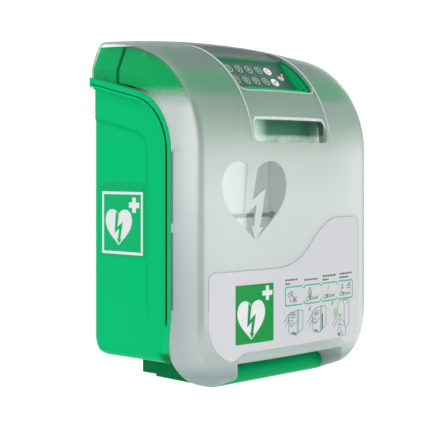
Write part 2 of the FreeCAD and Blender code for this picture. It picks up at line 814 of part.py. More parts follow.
def main():
    os.makedirs("parts", exist_ok=True)
    outer = with_round_edge(cover_body(0.0))
    inner = cover_body(SKIN)

    console_outer = cover_body(CONSOLE_GAP)
    console_inner = cover_body(CONSOLE_GAP + CONSOLE_SKIN)
    save("base_shell", base_shell(console_outer, console_inner))
    save("hinge_chin", hinge_chin())
    save("chin_screws", group(screw_group(chin_screw_places(), BASE_LOW - 12.0, 2.0, 4.0)))
    save("hinge_pins", group(hinge_pins()))
    save("seal_strips", group(seal_strips()))
    save("side_sign_left", side_sign(-1))
    save("side_sign_right", side_sign(1))

    save("inner_liner", inner_liner())
    save("liner_screws", group(liner_screws()))
    save("device_shelf", device_shelf())
    save("strap", strap())
    save("strap_studs", group(strap_studs()))
    save("strap_buckle", strap_buckle())
    save("heater_plate", heater_plate())
    save("thermostat", thermostat())
    save("cable_gland", cable_gland())

    screws = console_screws()
    save("console_housing", console_housing(console_outer, console_inner).cut(screws))
    save("console_base", console_base(console_inner, screws))
    save("console_screws", group(screws))
    save("keypad_bezel", keypad_bezel())
    save("keypad_board", keypad_board())
    names = ["1", "2", "3", "4", "5", "clear", "6", "7", "8", "9", "0", "enter"]
    for name, (x, along) in zip(names, key_places()):
        save("key_" + name, key_cap(x, along))
    save("main_board", main_board())
    save("terminal_block", terminal_block())
    save("siren", siren())
    save("battery_holder", battery_holder())
    save("battery_cells", group(cell_rods(0.0)))
    save("light_lens", light_lens())
    save("lock_solenoid", lock_solenoid())
    save("lock_bolt", lock_bolt())
    save("reed_sensor", reed_sensor())

    save("cover_shell", cover_shell(outer, inner))
    save("cover_label", cover_label(outer, cover_body(-0.3)))
    save("hinge_bushes", group(hinge_bushes()))
    save("lock_striker", lock_striker(inner))
    save("striker_screws", group(striker_screws(inner)))
    save("cover_magnet", cover_magnet(inner))


main()
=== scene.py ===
import json
import math
import random

import bmesh
import bpy
from mathutils import Matrix, Vector

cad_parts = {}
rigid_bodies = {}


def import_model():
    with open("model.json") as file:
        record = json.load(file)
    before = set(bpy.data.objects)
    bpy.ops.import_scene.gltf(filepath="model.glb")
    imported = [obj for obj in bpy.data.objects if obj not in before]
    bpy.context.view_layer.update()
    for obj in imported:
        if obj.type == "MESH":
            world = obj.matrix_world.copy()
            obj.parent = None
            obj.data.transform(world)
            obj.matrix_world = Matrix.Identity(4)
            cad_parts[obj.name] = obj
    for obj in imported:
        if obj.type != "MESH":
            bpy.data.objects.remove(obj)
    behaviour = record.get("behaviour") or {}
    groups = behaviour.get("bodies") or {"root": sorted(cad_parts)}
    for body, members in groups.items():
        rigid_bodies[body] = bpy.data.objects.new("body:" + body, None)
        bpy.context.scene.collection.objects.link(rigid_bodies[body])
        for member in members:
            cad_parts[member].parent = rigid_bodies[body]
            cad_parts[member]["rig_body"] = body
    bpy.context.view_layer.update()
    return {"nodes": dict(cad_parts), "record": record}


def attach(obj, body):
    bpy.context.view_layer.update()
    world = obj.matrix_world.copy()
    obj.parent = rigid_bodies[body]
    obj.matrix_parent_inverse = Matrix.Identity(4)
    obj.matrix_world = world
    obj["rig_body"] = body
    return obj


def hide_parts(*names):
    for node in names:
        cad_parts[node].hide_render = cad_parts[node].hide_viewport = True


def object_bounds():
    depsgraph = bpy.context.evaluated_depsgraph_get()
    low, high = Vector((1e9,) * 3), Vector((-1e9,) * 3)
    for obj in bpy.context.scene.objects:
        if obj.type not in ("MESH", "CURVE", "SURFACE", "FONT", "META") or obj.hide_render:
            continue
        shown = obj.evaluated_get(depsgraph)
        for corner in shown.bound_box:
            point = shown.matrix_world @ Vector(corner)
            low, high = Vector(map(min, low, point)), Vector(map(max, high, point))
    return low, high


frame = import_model()
random.seed(7)

# Places are given in millimetres as (x, depth, height): depth is measured from the cover's foremost
# point towards the wall, and height from the lower corner line of the cover's front.
DEPTH = 201.0
MOUNT_HEIGHT = 230.0
FRONT_HALF = 172.0
FRONT_DEPTH = 10.0
BOW_R = (FRONT_HALF ** 2 + FRONT_DEPTH ** 2) / (2 * FRONT_DEPTH)
HOOD_R = 150.0
HOOD_H = 300.0
GRIP_HALF = 76.0
SLOT_LOW = 313.0
SLOT_HIGH = 344.0
RIDGE_X = 80.0
BAR_TOP = 382.0
LABEL_T = 0.3
INK = 0.12
SIDE_FACE = 173.5
PAD_DEPTH = 71.0
PAD_H = 405.0
PAD_TILT = math.radians(48.8)
KEY_PITCH = 20.0
ROW_PITCH = 21.3
FIRST_KEY_X = -65.0
KEYS_ACROSS = 6
KEY_RING = (6.9, 5.9)
PAD_HEART_X = 56.0
KEY_PROUD = 0.8
RIM_FACE = 185.0
FLANGE_DEPTH = 46.0
PART_R = 82.0
PART_SLOPE = 13.0
SIDES = ((-1, "left"), (1, "right"))

# The camera looks this way, and the backdrop is turned to face it.
VIEW_TURN = math.radians(-46.7)

# In the materials, lengths are in metres and measured from the same places.
GRAIN_DEPTH = 0.00004
MIRROR_SHARE = 0.027

# In metres. The floor lies low enough for the opened cover to hang clear of it.
FLOOR_DROP = 0.50
BACKDROP_BEND = 1.2


def place(x, depth, height):
    return Vector((x / 1000, (depth - DEPTH) / 1000, (height - MOUNT_HEIGHT) / 1000))


def bow(x):
    """Depth of the cover's bowed front at x."""
    return BOW_R - math.sqrt(BOW_R ** 2 - x ** 2)


def on_front(x, height, out=0.0):
    return place(x, bow(x) - out, height)


def on_label(x, height, out=0.0):
    return on_front(x, height, LABEL_T + out)


def on_left(depth, height, out=0.0):
    """A point of the left side wall. The picture on it is read from the left, so depth runs leftwards."""
    return place(-SIDE_FACE - LABEL_T - out, -depth, height)


def on_right(depth, height, out=0.0):
    return place(SIDE_FACE + LABEL_T + out, depth, height)


def on_pad(x, along, out=0.0):
    """A point of the keypad: along runs up its slope and out leaves it."""
    depth = PAD_DEPTH + along * math.cos(PAD_TILT) - out * math.sin(PAD_TILT)
    height = PAD_H + along * math.sin(PAD_TILT) + out * math.cos(PAD_TILT)
    return place(x, depth, height)


def on_hood(x, angle, out=0.0):
    """A point of the hood, angle degrees past its spring line."""
    radius = HOOD_R - bow(x) + out
    turn = math.radians(angle)
    return place(x, HOOD_R - radius * math.cos(turn), HOOD_H + radius * math.sin(turn))


# ---------------------------------------------------------------- materials

class Nodes:
    """A small helper that adds nodes to one material."""

    def __init__(self, name):
        self.material = bpy.data.materials.new(name)
        self.material.use_nodes = True
        self.tree = self.material.node_tree
        self.tree.nodes.clear()
        self.output = self.tree.nodes.new("ShaderNodeOutputMaterial")
        coordinates = self.tree.nodes.new("ShaderNodeTexCoord")
        self.place = coordinates.outputs["Object"]
        self.facing = coordinates.outputs["Normal"]

    def add(self, kind, inputs=(), **settings):
        node = self.tree.nodes.new(kind)
        for key, value in settings.items():
            setattr(node, key, value)
        for key, value in dict(inputs).items():
            self.set(node.inputs[key], value)
        return node

    def set(self, socket, value):
        if isinstance(value, bpy.types.NodeSocket):
            self.tree.links.new(value, socket)
        else:
            socket.default_value = value

    def math(self, operation, a, b=0.0, clamp=False):
        node = self.add("ShaderNodeMath", operation=operation, use_clamp=clamp)
        self.set(node.inputs[0], a)
        self.set(node.inputs[1], b)
        return node.outputs[0]

    def axes(self, vector=None):
        node = self.add("ShaderNodeSeparateXYZ", {"Vector": vector or self.place})
        return node.outputs[0], node.outputs[1], node.outputs[2]

    def depth_and_height(self):
        """Depth behind the cover's foremost point and height above its corner line, in metres."""
        _, y, z = self.axes()
        return self.math("ADD", y, DEPTH / 1000), self.math("ADD", z, MOUNT_HEIGHT / 1000)

    def both(self, *factors):
        result = factors[0]
        for factor in factors[1:]:
            result = self.math("MULTIPLY", result, factor)
        return result

    def step(self, value, low, high):
        """0 at low and 1 at high, smoothly."""
        node = self.add("ShaderNodeMapRange", {"Value": value, "From Min": low, "From Max": high},
                        interpolation_type="SMOOTHSTEP", clamp=True)
        return node.outputs["Result"]

    def between(self, factor, low, high):
        """low where factor is 0 and high where it is 1."""
        node = self.add("ShaderNodeMapRange", {"Value": factor, "To Min": low, "To Max": high})
        return node.outputs["Result"]

    def ramp(self, factor, stops):
        """A colour that follows factor through stops of a position and a display colour."""
        node = self.add("ShaderNodeValToRGB", {"Fac": factor})
        elements = node.color_ramp.elements
        for element, (position, colour) in ((elements[0], stops[0]), (elements[1], stops[-1])):
            element.position, element.color = position, linear(*colour)
        for position, colour in stops[1:-1]:
            elements.new(position).color = linear(*colour)
        return node.outputs["Color"]

    def noise(self, scale, detail=3.0, rough=0.5):
        node = self.add("ShaderNodeTexNoise",
                        {"Vector": self.place, "Scale": scale, "Detail": detail, "Roughness": rough})
        return node.outputs["Fac"]

    def mix(self, factor, a, b):
        node = self.add("ShaderNodeMix", data_type="RGBA")
        self.set(node.inputs[0], factor)
        self.set(node.inputs[6], a)
        self.set(node.inputs[7], b)
        return node.outputs[2]

    def blend(self, share, first, second):
        """The first shader with a share of the second."""
        return self.add("ShaderNodeMixShader", {0: share, 1: first, 2: second}).outputs[0]

    def bump(self, height, strength, distance):
        node = self.add("ShaderNodeBump", {"Height": height, "Strength": strength, "Distance": distance})
        return node.outputs["Normal"]

    def shade(self, **inputs):
        shader = self.add("ShaderNodeBsdfPrincipled")
        for key, value in inputs.items():
            self.set(shader.inputs[key.replace("_", " ")], value)
        return shader.outputs[0]

    def finish(self, shader):
        self.tree.links.new(shader, self.output.inputs["Surface"])
        return self.material


def linear(red, green, blue):
    """A display colour, 0 to 255, as a scene-linear one."""
    def one(value):
        value /= 255
        return value / 12.92 if value <= 0.04045 else ((value + 0.055) / 1.055) ** 2.4
    return (one(red), one(green), one(blue), 1.0)


def dimmed(colour, share):
    return [channel * share for channel in colour[:3]] + [1.0]


def plastic(name, colour, roughness, grain=900.0, shine=0.3):
    """Moulded plastic: a fine spark-eroded grain and a slight drift in colour and gloss."""
    n = Nodes(name)
    paint = n.mix(n.noise(9.0, 2.0), dimmed(colour, 0.94), colour)
    gloss = n.between(n.noise(35.0, 4.0), roughness - 0.05, roughness + 0.07)
    normal = n.bump(n.noise(grain, 2.0, 0.6), 0.25, GRAIN_DEPTH)
    return n.finish(n.shade(Base_Color=paint, Roughness=gloss, Normal=normal, Specular_IOR_Level=shine))


def green_plastic(name, colour, shaded):
    """The case's green, with painted shade: darker at the rim's lower corner in the cover's shade, along the
    soft step round the side panel, and under the case.
    """
    n = Nodes(name)
    depth, height = n.depth_and_height()
    # painted shade in the groove at the rim's lower corner, over the nose, and under the case
    groove = n.both(n.step(depth, 0.085, 0.066), n.step(height, 0.047, 0.041), n.step(height, 0.020, 0.026))
    under = n.both(n.step(depth, 0.080, 0.100), n.step(height, 0.031, 0.028))
    paint = n.mix(n.noise(9.0, 2.0), dimmed(colour, 0.96), colour)

    # painted shade along the soft step round the side panel, a fixed way behind the rim
    x, _, _ = n.axes()
    slope = math.tan(math.radians(PART_SLOPE))
    centre = (FLANGE_DEPTH + PART_R) / 1000
    end = (centre - PART_R / 1000 * math.sin(math.radians(PART_SLOPE)),
           HOOD_H / 1000 + PART_R / 1000 * math.cos(math.radians(PART_SLOPE)))
    below = n.math("SUBTRACT", n.math("ADD", n.both(depth, slope), end[1] - end[0] * slope), height)
    flat = n.math("MINIMUM", n.math("SUBTRACT", depth, FLANGE_DEPTH / 1000),
                  n.both(below, math.cos(math.radians(PART_SLOPE))))
    across, rise = n.math("SUBTRACT", depth, centre), n.math("SUBTRACT", height, HOOD_H / 1000)
    reach = n.math("SQRT", n.math("ADD", n.both(across, across), n.both(rise, rise)))
    bend = n.math("SUBTRACT", PART_R / 1000, reach)
    corner = n.both(n.math("LESS_THAN", depth, 0.120), n.math("GREATER_THAN", height, HOOD_H / 1000))
    behind = n.math("ADD", flat, n.both(corner, n.math("SUBTRACT", bend, flat)))
    step = n.both(n.step(behind, 0.0505, 0.0540), n.step(behind, 0.0610, 0.0548),
                  n.step(n.math("ABSOLUTE", x), 0.168, 0.170), n.step(height, 0.050, 0.120))
    paint = n.mix(n.both(step, 0.55), paint, dimmed(colour, 0.74))
    # lay the painted shade of the groove and the underside
    paint = n.mix(n.math("MAXIMUM", n.both(groove, 0.85), n.both(under, 0.7)), paint, shaded)
    gloss = n.between(n.noise(35.0, 4.0), 0.34, 0.46)
    normal = n.bump(n.noise(900.0, 2.0, 0.6), 0.25, GRAIN_DEPTH)
    return n.finish(n.shade(Base_Color=paint, Roughness=gloss, Normal=normal, Specular_IOR_Level=0.03))


def metal(name, colour, roughness):
    """Turned or plated metal with fine scratches."""
    n = Nodes(name)
    scratch = n.noise(600.0, 5.0)
    gloss = n.between(scratch, roughness - 0.08, roughness + 0.15)
    normal = n.bump(scratch, 0.15, 0.00003)
    return n.finish(n.shade(Base_Color=colour, Metallic=1.0, Roughness=gloss, Normal=normal))


def printed(name, colour, roughness, shine=0.25):
    """Ink or film: flat colour with the faint mottle of print."""
    n = Nodes(name)
    paint = n.mix(n.noise(420.0, 2.0), dimmed(colour, 0.93), colour)
    gloss = n.between(n.noise(60.0), roughness - 0.04, roughness + 0.05)
    return n.finish(n.shade(Base_Color=paint, Roughness=gloss, Specular_IOR_Level=shine))


def webbing(name, colour):
    """Woven elastic: ribs across the band."""
    n = Nodes(name)
    wave = n.add("ShaderNodeTexWave", {"Vector": n.place, "Scale": 260.0, "Distortion": 1.5, "Detail": 2.0},
                 bands_direction="DIAGONAL")
    paint = n.mix(wave.outputs["Fac"], dimmed(colour, 0.55), colour)
    normal = n.bump(wave.outputs["Fac"], 0.6, 0.0002)
    return n.finish(n.shade(Base_Color=paint, Roughness=0.85, Normal=normal, Sheen_Weight=0.3))


def foam(name, colour):
    """Open-cell sealing foam."""
    n = Nodes(name)
    cells = n.add("ShaderNodeTexVoronoi", {"Vector": n.place, "Scale": 700.0}).outputs["Distance"]
    paint = n.mix(cells, dimmed(colour, 0.5), colour)
    return n.finish(n.shade(Base_Color=paint, Roughness=0.95, Normal=n.bump(cells, 0.8, 0.0004)))


def board(name):
    """Circuit board with soldermask over faint tracks."""
    n = Nodes(name)
    tracks = n.add("ShaderNodeTexBrick", {"Vector": n.place, "Scale": 90.0, "Mortar Size": 0.03})
    tracks.inputs["Color1"].default_value = linear(24, 92, 54)
    tracks.inputs["Color2"].default_value = linear(30, 104, 62)
    tracks.inputs["Mortar"].default_value = linear(60, 140, 84)
    return n.finish(n.shade(Base_Color=tracks.outputs["Color"], Roughness=0.4))


def cover_plastic():
    """Moulded polycarbonate: clear on the upper side walls and frosted elsewhere; its colour carries painted
    light and shade, darkest over the hood.
    """
    n = Nodes("cover_plastic")
    x, _, _ = n.axes()
    side = n.math("ABSOLUTE", x)
    depth, height = n.depth_and_height()
    # the frosting's colour by height is painted light and shade of the inside seen through it: pale in the
    # middle, darker at the bottom and over the hood
    stops = ((0, (176, 192, 192)), (30, (190, 202, 200)), (90, (222, 227, 227)), (240, (231, 236, 234)),
             (290, (217, 224, 220)), (322, (182, 198, 188)), (350, (154, 178, 166)), (400, (116, 146, 134)),
             (440, (104, 124, 121)), (500, (96, 112, 112)))
    top = stops[-1][0]
    height_shading = n.ramp(n.math("DIVIDE", height, top / 1000), [(level / top, colour) for level, colour in stops])
    paint = n.mix(n.math("MULTIPLY", n.noise(6.0, 2.0), 0.10), height_shading, linear(240, 244, 242))

    # painted reflection on the side walls, bright near the front and shaded lower down, and painted light
    # that makes the front lighter to the right
    across, _, upward = n.axes(n.facing)
    sideways = n.step(n.math("ABSOLUTE", across), 0.45, 0.75)
    wall = n.both(sideways, n.step(side, 0.158, 0.162))
    side_highlight = n.mix(n.step(depth, 0.042, 0.014), linear(214, 219, 222), linear(246, 248, 248))
    side_highlight = n.mix(n.both(n.step(height, 0.30, 0.12), 0.5), side_highlight, linear(168, 178, 184))
    paint = n.mix(n.both(wall, n.step(height, 0.386, 0.352)), paint, side_highlight)
    right = n.both(n.step(x, 0.060, 0.172), n.step(height, 0.345, 0.290), 0.75)
    paint = n.mix(right, paint, linear(250, 252, 250))
    # painted shade along the bottom edge, standing in for the clear rim's refraction
    paint = n.mix(n.both(n.step(height, 0.034, 0.012), 0.7), paint, linear(132, 158, 160))

    # painted light: a soft green band beside the ridges, for the green console seen through the frosting
    band = n.both(n.step(height, 0.366, 0.380), n.step(height, 0.414, 0.398), n.step(side, 0.078, 0.084))
    paint = n.mix(n.both(band, 0.75), paint, linear(90, 168, 124))
    # painted shade over the crown between the ridges
    crown = n.both(n.step(side, 0.081, 0.077), n.step(height, 0.424, 0.440), 0.85)
    paint = n.mix(crown, paint, linear(58, 74, 74))

    # the hood's inner face is in shade over the console
    under = n.both(n.step(upward, -0.2, -0.5), n.step(height, 0.372, 0.384))
    paint = n.mix(under, paint, linear(16, 172, 108))

    # painted shade: the edge of the side wall, seen through the front, as a darker line
    edge = n.both(n.step(side, 0.1615, 0.1655), n.step(side, 0.1735, 0.1700), n.step(depth, 0.030, 0.020),
                  n.step(height, 0.055, 0.095), 0.5)
    paint = n.mix(edge, paint, linear(120, 140, 134))

    # painted shade and highlight in the finger pocket behind the grip bar: pale to the left, dark to the
    # right, and a pale band along its floor
    pocket = n.both(n.step(height, 0.3105, 0.3135), n.step(height, 0.3465, 0.3430),
                    n.step(side, 0.0800, 0.0785), n.step(depth, 0.0095, 0.0125))
    shade = n.ramp(n.math("DIVIDE", n.math("ADD", x, 0.08), 0.16),
                   ((0.10, (196, 216, 206)), (0.28, (176, 202, 188)), (0.42, (14, 94, 66)),
                    (0.92, (0, 84, 62))))
    low = n.both(n.step(height, 0.326, 0.319), n.noise(40.0, 3.0))
    paint = n.mix(pocket, paint, n.mix(low, shade, linear(214, 226, 220)))

    # foam that shows as a dotted line through the rear edge of the side walls
    lengths = n.math("MAXIMUM", n.both(n.step(height, 0.1005, 0.1015), n.step(height, 0.1995, 0.1985)),
                     n.both(n.step(height, 0.2095, 0.2105), n.step(height, 0.3005, 0.2995)))
    dots = n.add("ShaderNodeTexWave", {"Vector": n.place, "Scale": 110.0}, bands_direction="Z")
    foam_line = n.both(wall, n.step(depth, 0.0434, 0.0438), n.step(depth, 0.0462, 0.0458), lengths,
                       n.math("ADD", 0.70, n.both(dots.outputs["Fac"], 0.3)))
    paint = n.mix(foam_line, paint, linear(34, 42, 46))

    clear_zone = n.both(wall, n.step(height, 0.352, 0.386))
    paint = n.mix(clear_zone, paint, linear(225, 238, 232))
    share = n.math("SUBTRACT", 0.80, n.both(clear_zone, 0.79))
    share = n.math("ADD", share, n.both(pocket, 0.14))
    gloss = n.math("SUBTRACT", 0.36, n.both(clear_zone, 0.26))
    normal = n.bump(n.noise(1500.0, 2.0), 0.12, 0.00003)
    sheen = n.math("SUBTRACT", 0.5, n.both(n.math("MAXIMUM", n.step(height, 0.395, 0.43), pocket), 0.38))
    surface = n.shade(Base_Color=paint, Roughness=gloss, Normal=normal, Specular_IOR_Level=sheen)
    glow = n.add("ShaderNodeBsdfTranslucent", {"Color": linear(238, 243, 240), "Normal": normal}).outputs[0]
    through = n.add("ShaderNodeBsdfTransparent", {"Color": linear(238, 246, 242)}).outputs[0]
    return n.finish(n.blend(share, through, n.blend(0.30, surface, glow)))


def clear_plastic(name="clear_plastic", weight=0.05, colour=(214, 226, 222)):
    """Polished clear polycarbonate, with a mirror-like share laid over it."""
    n = Nodes(name)
    share = n.math("ADD", weight, n.both(n.noise(30.0), 0.03))
    gloss = n.between(n.noise(50.0), 0.02, 0.06)
    surface = n.shade(Base_Color=linear(*colour), Roughness=gloss)
    through = n.add("ShaderNodeBsdfTransparent", {"Color": linear(248, 249, 248)}).outputs[0]
    mirror = n.add("ShaderNodeBsdfAnisotropic", {"Roughness": gloss}).outputs[0]
    return n.finish(n.blend(MIRROR_SHARE, n.blend(share, through, surface), mirror))


def edge_light(name, share, colour):
    """A polished bead of the same plastic, painted pale as the highlight it gathers."""
    n = Nodes(name)
    paint = n.mix(n.noise(120.0), linear(*colour), linear(200, 212, 206))
    surface = n.shade(Base_Color=paint, Roughness=n.between(n.noise(80.0), 0.10, 0.18))
    through = n.add("ShaderNodeBsdfTransparent").outputs[0]
    return n.finish(n.blend(share, through, surface))


GREEN = linear(0, 185, 112)
# a darker copy of the case's green: painted shade on the hinge chin
CHIN_SHADE_GREEN = linear(0, 156, 92)
SHADED_GREEN = linear(0, 92, 40)
SIGN_GREEN = linear(0, 148, 62)
WHITE = linear(222, 224, 228)
TEAL = linear(22, 132, 100)

materials = {
    "green_abs": green_plastic("green_abs", GREEN, SHADED_GREEN),
    "label_white": printed("label_white", linear(204, 205, 209), 0.3),
    "sign_film": printed("sign_film", linear(2, 170, 104), 0.28, 0.1),
    "liner_white": plastic("liner_white", linear(217, 220, 221), roughness=0.5, grain=500.0, shine=0.15),
    "screw_steel": metal("screw_steel", linear(180, 182, 184), 0.35),
    "pin_steel": metal("pin_steel", linear(196, 198, 200), 0.2),
    "solenoid_steel": metal("solenoid_steel", linear(150, 152, 150), 0.4),
    "seal_foam": foam("seal_foam", linear(70, 76, 80)),
    "strap_web": webbing("strap_web", linear(60, 150, 112)),
    "stud_black": plastic("stud_black", linear(52, 56, 58), roughness=0.4),
    "heater_alu": metal("heater_alu", linear(190, 192, 194), 0.35),
    "sensor_black": plastic("sensor_black", linear(34, 36, 38), roughness=0.45),
    "gland_grey": plastic("gland_grey", linear(86, 90, 92), roughness=0.5),
    "keypad_film": printed("keypad_film", linear(58, 98, 84), 0.35),
    "key_grey": printed("key_grey", linear(64, 104, 90), 0.35),
    "key_white": printed("key_white", linear(226, 232, 228), 0.35),
    "board_green": board("board_green"),
    "terminal_green": plastic("terminal_green", linear(40, 130, 70), roughness=0.45),
    "siren_black": plastic("siren_black", linear(28, 30, 32), roughness=0.4),
    "cell_wrap": printed("cell_wrap", linear(60, 62, 70), 0.3),
    "light_lens": clear_plastic("light_lens", 0.6, (236, 238, 236)),
    "bush_grey": plastic("bush_grey", linear(120, 124, 126), roughness=0.5),
    "magnet_nickel": metal("magnet_nickel", linear(200, 200, 196), 0.15),
    "cover_clear": cover_plastic(),
}
clear = clear_plastic()
ink = {
    "white": printed("ink_white", WHITE, 0.3),
    "sign": printed("ink_sign_green", SIGN_GREEN, 0.3, 0.08),
    "side_sign": printed("ink_side_green", linear(2, 176, 106), 0.28, 0.08),
    "teal": printed("ink_teal", TEAL, 0.35),
    "strip": printed("ink_strip", linear(30, 185, 145), 0.35),
    "pale": printed("ink_pale", linear(172, 200, 188), 0.35),
    "red": printed("ink_red", linear(222, 24, 30), 0.35, 0.1),
    "yellow": printed("ink_yellow", linear(216, 186, 10), 0.35, 0.1),
    "grey": printed("ink_grey", linear(84, 86, 92), 0.4),
    "dark_green": printed("ink_dark_green", linear(44, 92, 72), 0.4),
    "light_green": printed("ink_light_green", linear(150, 196, 150), 0.4),
    "edge": printed("ink_edge", linear(150, 156, 166), 0.4),
    "mark": printed("ink_mark", linear(150, 168, 160), 0.3),
    # a dark film for the painted shadow in the gap along the rim
    "groove": printed("painted_groove_shadow", linear(0, 24, 16), 0.7, 0.0),
}

node_slots = {part["node"]: part["material_slot"] for part in frame["record"]["subparts"]}
for name, obj in frame["nodes"].items():
    obj.data.materials.clear()
    obj.data.materials.append(materials[node_slots[name]])
frame["nodes"]["liner_screws"].data.materials[0] = materials["liner_white"]
# the hinge chin takes the darker green, painted shade
frame["nodes"]["hinge_chin"].data.materials[0] = green_plastic("chin_shade_green", CHIN_SHADE_GREEN, SHADED_GREEN)


# ---------------------------------------------------------------- making pieces

def link(obj):
    bpy.context.scene.collection.objects.link(obj)
    return obj


def add_piece(name, mesh, material, body):
    obj = link(bpy.data.objects.new(name, mesh))
    mesh.materials.append(material)
    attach(obj, body)
    return obj


def mesh_of(curve):
    """The mesh of a curve or a text."""
    holder = link(bpy.data.objects.new(curve.name, curve))
    mesh = bpy.data.meshes.new_from_object(holder)
    bpy.data.objects.remove(holder)
    return mesh


def filled(loops):
    """A flat mesh of the area inside closed outlines, where an outline inside another is a hole."""
    curve = bpy.data.curves.new("outline", "CURVE")
    curve.dimensions = "2D"
    curve.fill_mode = "BOTH"
    for loop in loops:
        spline = curve.splines.new("POLY")
        spline.points.add(len(loop) - 1)
        for point, (a, b) in zip(spline.points, loop):
            point.co = (a, b, 0, 1)
        spline.use_cyclic_u = True
    return mesh_of(curve)


def lay(mesh, where, thick, cuts=()):
    """Cut a flat mesh across at each of cuts, thicken it and lay it on a surface by where(a, b, out)."""
    bm = bmesh.new()
    bm.from_mesh(mesh)
    for cut in cuts:
        bmesh.ops.bisect_plane(bm, geom=bm.verts[:] + bm.edges[:] + bm.faces[:], dist=1e-5,
                               plane_co=(cut, 0, 0), plane_no=(1, 0, 0))
    made = bmesh.ops.extrude_face_region(bm, geom=bm.faces[:])
    raised = {v for v in made["geom"] if isinstance(v, bmesh.types.BMVert)}
    for v in bm.verts:
        v.co = where(v.co.x, v.co.y, thick if v in raised else 0.0)
    bmesh.ops.recalc_face_normals(bm, faces=bm.faces[:])
    bm.to_mesh(mesh)
    bm.free()


def film(name, loops, where, material, body, thick=INK, step=8.0):
    """A thin printed or cut film: outlines in millimetres, cut every step so that it can follow a bow."""
    mesh = filled(loops)
    mesh.name = name
    values = [v.co.x for v in mesh.vertices]
    cuts = [step * i for i in range(math.ceil(min(values) / step), math.ceil(max(values) / step))]
    lay(mesh, where, thick, cuts)
    return add_piece(name, mesh, material, body)


def label_film(name, loops, material, step=8.0):
    """A film printed on the cover's label."""
    return film(name, loops, on_label, material, "cover", step=step)


def bezier(p0, p1, p2, p3, steps=12):
    points = []
    for i in range(steps):
        t = i / steps
        u = 1 - t
        points.append(tuple(
            u ** 3 * p0[k] + 3 * u * u * t * p1[k] + 3 * u * t * t * p2[k] + t ** 3 * p3[k] for k in (0, 1)
        ))
    return points


def heart(cx, cy, half, tall=1.0):
    """A plain heart about (cx, cy), half wide each way."""
    right = (
        bezier((0, 0.27), (0.06, 0.42), (0.24, 0.54), (0.50, 0.54))
        + bezier((0.50, 0.54), (0.80, 0.54), (1.0, 0.30), (1.0, 0.0))
        + bezier((1.0, 0.0), (1.0, -0.48), (0.45, -0.80), (0.0, -1.18))
    )
    left = [(-a, b) for a, b in reversed(right[1:])]
    return [(cx + a * half, cy + b * half * tall) for a, b in right + [(0.0, -1.18)] + left]


def bolt_arrow(cx, cy, half, tall=1.0):
    """Zig-zag arrow down the middle of the heart."""
    points = [
        (-0.22, 0.46), (-0.31, -0.62), (0.03, -0.40), (-0.05, -0.87), (-0.13, -0.86), (0.0, -1.13),
        (0.23, -0.90), (0.13, -0.90), (0.32, -0.05), (-0.10, -0.30), (0.01, 0.28),
    ]
    return [(cx + a * half, cy + b * half * tall) for a, b in points]


def plus(cx, cy, arm, half):
    return [
        (cx - half, cy + arm), (cx + half, cy + arm), (cx + half, cy + half), (cx + arm, cy + half),
        (cx + arm, cy - half), (cx + half, cy - half), (cx + half, cy - arm), (cx - half, cy - arm),
        (cx - half, cy - half), (cx - arm, cy - half), (cx - arm, cy + half), (cx - half, cy + half),
    ]


def rectangle(x0, x1, y0, y1):
    return [(x0, y0), (x1, y0), (x1, y1), (x0, y1)]


def round_rectangle(x0, x1, y0, y1, radius, steps=5):
    points = []
    corners = ((x1 - radius, y1 - radius, 0), (x0 + radius, y1 - radius, 90),
               (x0 + radius, y0 + radius, 180), (x1 - radius, y0 + radius, 270))
    for cx, cy, start in corners:
        for i in range(steps + 1):
            angle = math.radians(start + 90 * i / steps)
            points.append((cx + radius * math.cos(angle), cy + radius * math.sin(angle)))
    return points


def disc(cx, cy, radius, steps=28):
    return [
        (cx + radius * math.cos(2 * math.pi * i / steps), cy + radius * math.sin(2 * math.pi * i / steps))
        for i in range(steps)
    ]


def bead(name, points, radius, material, ends):
    """A round bead moulded on the cover. It follows points in metres and thins to ends at its tips."""
    curve = bpy.data.curves.new(name, "CURVE")
    curve.dimensions = "3D"
    curve.bevel_depth = radius / 1000
    curve.bevel_resolution = 3
    curve.use_fill_caps = True
    spline = curve.splines.new("POLY")
    last = len(points) - 1
    spline.points.add(last)
    for i, (point, co) in enumerate(zip(spline.points, points)):
        point.co = (*co, 1)
        near = min(i, last - i) / max(1, last * 0.12)
        point.radius = ends + (1 - ends) * min(1.0, near)
    mesh = mesh_of(curve)
    for polygon in mesh.polygons:
        polygon.use_smooth = True
    return add_piece(name, mesh, material, "cover")


def strokes(name, lines, width, material):
    """Line work printed on the label: each polyline becomes a narrow film of the same width."""
    films = [label_film(f"{name}_{i:02d}", [stroke_outline(line, width / 2)], material, step=20.0)
             for i, line in enumerate(lines)]
    join_pieces(name, films)


def stroke_outline(line, half):
    left, right = [], []
    for i, (x, y) in enumerate(line):
        x0, y0 = line[max(0, i - 1)]
        x1, y1 = line[min(len(line) - 1, i + 1)]
        dx, dy = x1 - x0, y1 - y0
        size = math.hypot(dx, dy) or 1.0
        nx, ny = -dy / size * half, dx / size * half
        left.append((x + nx, y + ny))
        right.append((x - nx, y - ny))
    return left + right[::-1]


def join_pieces(name, objects):
    """Join pieces that ride on the same body into one."""
    first = objects[0]
    bm = bmesh.new()
    for obj in objects:
        bm.from_mesh(obj.data)
    bm.to_mesh(first.data)
    bm.free()
    for obj in objects[1:]:
        bpy.data.objects.remove(obj)
    first.name = name
    first.data.name = name
    return first


# ---------------------------------------------------------------- camera, floor and light

def make_camera():
    data = bpy.data.cameras.new("camera")
    data.lens = 104.65
    data.sensor_width = 36.0
    data.shift_y = -0.1205
    data.clip_start = 0.01
    camera = link(bpy.data.objects.new("camera", data))
    camera.location = (-1.2846, -1.2665, 0.0555)
    camera.rotation_euler = (math.radians(90), 0, VIEW_TURN)
    bpy.context.scene.camera = camera


